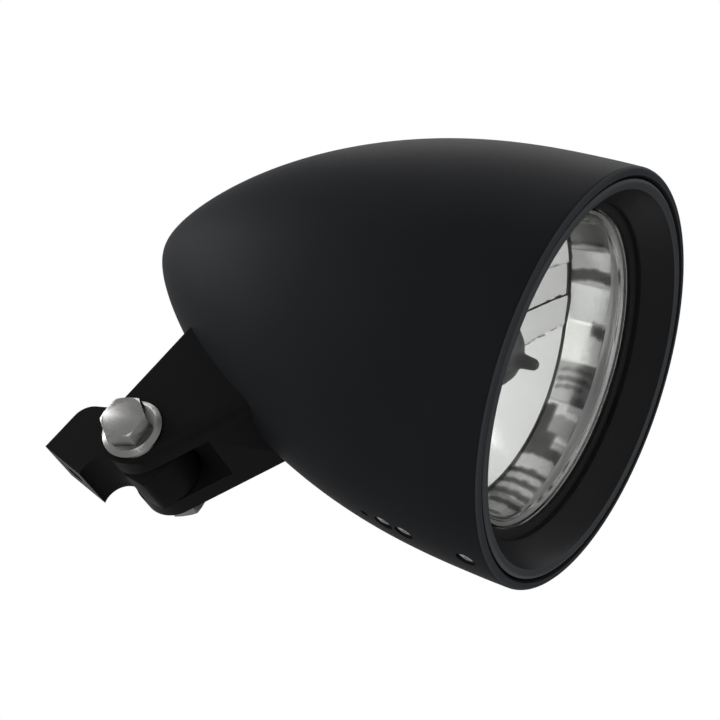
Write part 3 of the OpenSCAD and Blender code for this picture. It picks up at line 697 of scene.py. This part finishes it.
# black cap over the bulb, with a narrow nose, on a plain steel ring with three legs
bulbCap = {
    "nose": ((0, 0), (1.3, 0.25), (2.2, 1.2), (2.5, 3.2), (2.9, 6.2), (4.2, 8.2), (8.8, 10.2), (11.6, 12.6),
             (12.2, 16.2), (11.4, 16.2), (10.4, 13.8), (0, 12.5)),
    "ring": ((12.2, 16.2), (12.2, 27), (11.4, 27), (11.4, 16.2)),
    "noseY": 24.0, "cupBehind": 25.0, "cupThick": 2.0, "seatY": 92.0, "steps": 72,
    "legIn": 11.8, "legRadius": 16.6, "legThick": 1.4, "legHalf": 1.5, "legTurns": (60, 180, 300),
}


# a block between two corners in the lamp's millimetres, turned about the lamp's axis
def addBlock(bm, turn, low, high):
    made = bmesh.ops.create_cube(bm, size=1)["verts"]
    for v in made:
        x, y, z = (low[i] + (v.co[i] + 0.5) * (high[i] - low[i]) for i in range(3))
        v.co = lampPoint(x * math.cos(turn) + z * math.sin(turn), y, z * math.cos(turn) - x * math.sin(turn))


def makeBulbCap(cfg):
    bm = turned([(r, y + cfg["noseY"]) for r, y in cfg["nose"]], cfg["steps"])
    linkPiece("bulbCap", bm, "head", darkCap, "dark_cap", "bulb_shield", sharp=35)
    bm = turned([(r, y + cfg["noseY"]) for r, y in cfg["ring"]], cfg["steps"], closed=True)
    reach = cfg["legRadius"] + cfg["legThick"]
    cupY = cfg["noseY"] + cfg["cupBehind"]
    half = cfg["legHalf"]
    for degrees in cfg["legTurns"]:
        turn = math.radians(degrees)
        addBlock(bm, turn, (-half, cupY, cfg["legIn"]), (half, cupY + cfg["cupThick"], reach))
        addBlock(bm, turn, (-half, cupY, cfg["legRadius"]), (half, cfg["seatY"], reach))
    linkPiece("capFrame", bm, "head", capChrome, "dark_cap", sharp=35)


def paintNode(node, mat):
    data = nodes[node].data
    data.materials.clear()
    data.materials.append(mat)


# CAD nodes shown with soft edges: material, slot, width of the edge's rounding, body
dressed = {
    "trim_ring": (ringCoat, "black_ring", 0.35, "head"),
    "ring_gasket": (sealRubber, "rubber", 0.15, "head"),
    "carrier_ring": (zincSteel, "steel", 0.0, "head"),
    "clevis": (mountCoat, "black_paint", 0.5, "head"),
    "foot_block": (mountCoat, "black_paint", 0.5, "foot"),
    "pivot_bolt": (stainless, "stainless", 0.15, "head"),
    "flange_nut": (nutSteel, "stainless", 0.4, "head"),
    "thrust_washers": (washerPlastic, "washer_plastic", 0.1, "head"),
    "grommet": (sealRubber, "rubber", 0.3, "head"),
}
# a painted highlight on the ring's lip and the coat's plain level elsewhere, as on the shell
ringLipHighlight = {"inside": 74.2, "last": 1.0, "lip": 1.3, "plain": 0.3}
for node, settings in dressed.items():
    piece = dressNode(node, *settings)
    # the trim ring's lip gets a painted highlight
    if node == "trim_ring":
        paintLipHighlight(piece, ringLipHighlight)

makeShell(bullet)
makeScrews(screwSet)
print("shell and its screws made")
makeLens(lens)
makeBowl(mirror)
makeSkirt(mirror)
makeEdgeBand(edgeBand)
makeBulbCap(bulbCap)
print("lens and mirror made")

# CAD nodes shown as they are, most of them behind the mirror
inner = {
    "insert_clips": zincSteel, "bulb_glass": bulbClear, "bulb_burner": zincSteel, "bulb_base": zincSteel,
    "bulb_blades": brassMetal, "bulb_spring": zincSteel, "bulb_boot": sealRubber, "bulb_plug": blackPlastic,
    "parking_bulb": bulbClear, "parking_holder": sealRubber, "connector_bracket": zincSteel,
    "terminal_block": creamPlastic, "saddle_plate": zincSteel, "clevis_bolts": zincSteel,
}
for node, mat in inner.items():
    paintNode(node, mat)
print("pieces dressed")


# places in the lamp's millimetres, sizes in metres
lightSet = {
    "worldFill": 0.5, "aim": (0, 90, 0),
    "top": {"power": 11.4, "size": 0.9, "place": (-20, 290, 760)},
    "side": {"power": 2.2, "size": 0.7, "place": (-150, -860, 380)},
    "back": {"power": 9.4, "size": 0.5, "place": (-150, 920, 0)},
    "low": {"power": 1.0, "size": 0.3, "place": (-560, 60, -280)},
    "flag": {"half": 0.36, "tone": 0.03, "place": (560, -330, 300)},
}


def makeLamp(name, cfg, aimAt):
    data = bpy.data.lights.new(name, "AREA")
    data.energy = cfg["power"]
    data.size = cfg["size"]
    lamp = bpy.data.objects.new(name, data)
    place = lampPoint(*cfg["place"])
    aim = lampPoint(*aimAt)
    lamp.rotation_euler = (aim - place).to_track_quat("-Z", "Y").to_euler()
    lamp.location = place
    bpy.context.scene.collection.objects.link(lamp)


# a black flag that only mirror-like rays meet, so that the lens glass has something dark to show
def makeFlag(name, cfg):
    bm = bmesh.new()
    bmesh.ops.create_grid(bm, x_segments=2, y_segments=2, size=cfg["half"])
    place = lampPoint(*cfg["place"])
    turn = (lampPoint(0, 0, 0) - place).to_track_quat("Z", "Y").to_matrix().to_4x4()
    bmesh.ops.transform(bm, matrix=Matrix.Translation(place) @ turn, verts=bm.verts)
    mesh = bpy.data.meshes.new(name)
    bm.to_mesh(mesh)
    bm.free()
    flag = bpy.data.objects.new(name, mesh)
    bpy.context.scene.collection.objects.link(flag)
    flag.visible_camera = False
    flag.visible_diffuse = False
    flag.visible_shadow = False
    mat, _, surface = newMaterial(name + "Cloth")
    surface.inputs["Base Color"].default_value = (cfg["tone"], cfg["tone"], cfg["tone"], 1)
    surface.inputs["Roughness"].default_value = 1
    mesh.materials.append(mat)


# white where the named kinds of ray meet it, and plain for the light that falls on the lamp
def whiteToView(tree, plain, out, rays):
    path = tree.nodes.new("ShaderNodeLightPath")
    link = tree.links.new
    seen = path.outputs[rays[0]]
    for ray in rays[1:]:
        either = tree.nodes.new("ShaderNodeMath")
        either.operation = "MAXIMUM"
        link(seen, either.inputs[0])
        link(path.outputs[ray], either.inputs[1])
        seen = either.outputs[0]
    white = tree.nodes.new("ShaderNodeBackground" if out.type == "OUTPUT_WORLD" else "ShaderNodeEmission")
    white.inputs["Color"].default_value = (1, 1, 1, 1)
    white.inputs["Strength"].default_value = 1
    mixed = tree.nodes.new("ShaderNodeMixShader")
    link(seen, mixed.inputs["Fac"])
    link(plain.outputs[0], mixed.inputs[1])
    link(white.outputs[0], mixed.inputs[2])
    link(mixed.outputs[0], out.inputs["Surface"])


def makeWorld(cfg):
    world = bpy.data.worlds.new("studio")
    bpy.context.scene.world = world
    world.use_nodes = True
    tree = world.node_tree
    plain = next(x for x in tree.nodes if x.type == "BACKGROUND")
    out = next(x for x in tree.nodes if x.type == "OUTPUT_WORLD")
    plain.inputs["Color"].default_value = (1, 1, 1, 1)
    plain.inputs["Strength"].default_value = cfg["worldFill"]
    whiteToView(tree, plain, out, ("Is Camera Ray", "Is Glossy Ray", "Is Transmission Ray"))


# in metres
floorSet = {"height": -0.32, "half": 3.0, "tone": 0.8, "rough": 0.9}


def makeFloor(cfg):
    bm = bmesh.new()
    bmesh.ops.create_grid(bm, x_segments=2, y_segments=2, size=cfg["half"])
    bmesh.ops.translate(bm, vec=(0, 0, cfg["height"]), verts=bm.verts)
    mesh = bpy.data.meshes.new("studioFloor")
    bm.to_mesh(mesh)
    bm.free()
    floor = bpy.data.objects.new("studioFloor", mesh)
    bpy.context.scene.collection.objects.link(floor)
    mat, tree, surface = newMaterial("floorPaper")
    surface.inputs["Base Color"].default_value = (cfg["tone"], cfg["tone"], cfg["tone"], 1)
    surface.inputs["Roughness"].default_value = cfg["rough"]
    out = next(x for x in tree.nodes if x.type == "OUTPUT_MATERIAL")
    whiteToView(tree, surface, out, ("Is Glossy Ray", "Is Transmission Ray"))
    mesh.materials.append(mat)


makeWorld(lightSet)
for name in ("top", "side", "back", "low"):
    makeLamp(name + "Softbox", lightSet[name], lightSet["aim"])
makeFlag("darkFlag", lightSet["flag"])
makeFloor(floorSet)
paths = bpy.context.scene.cycles
paths.max_bounces = 20
paths.glossy_bounces = 10
paths.transmission_bounces = 16
bpy.context.scene.view_settings.view_transform = "Standard"
print("studio set")
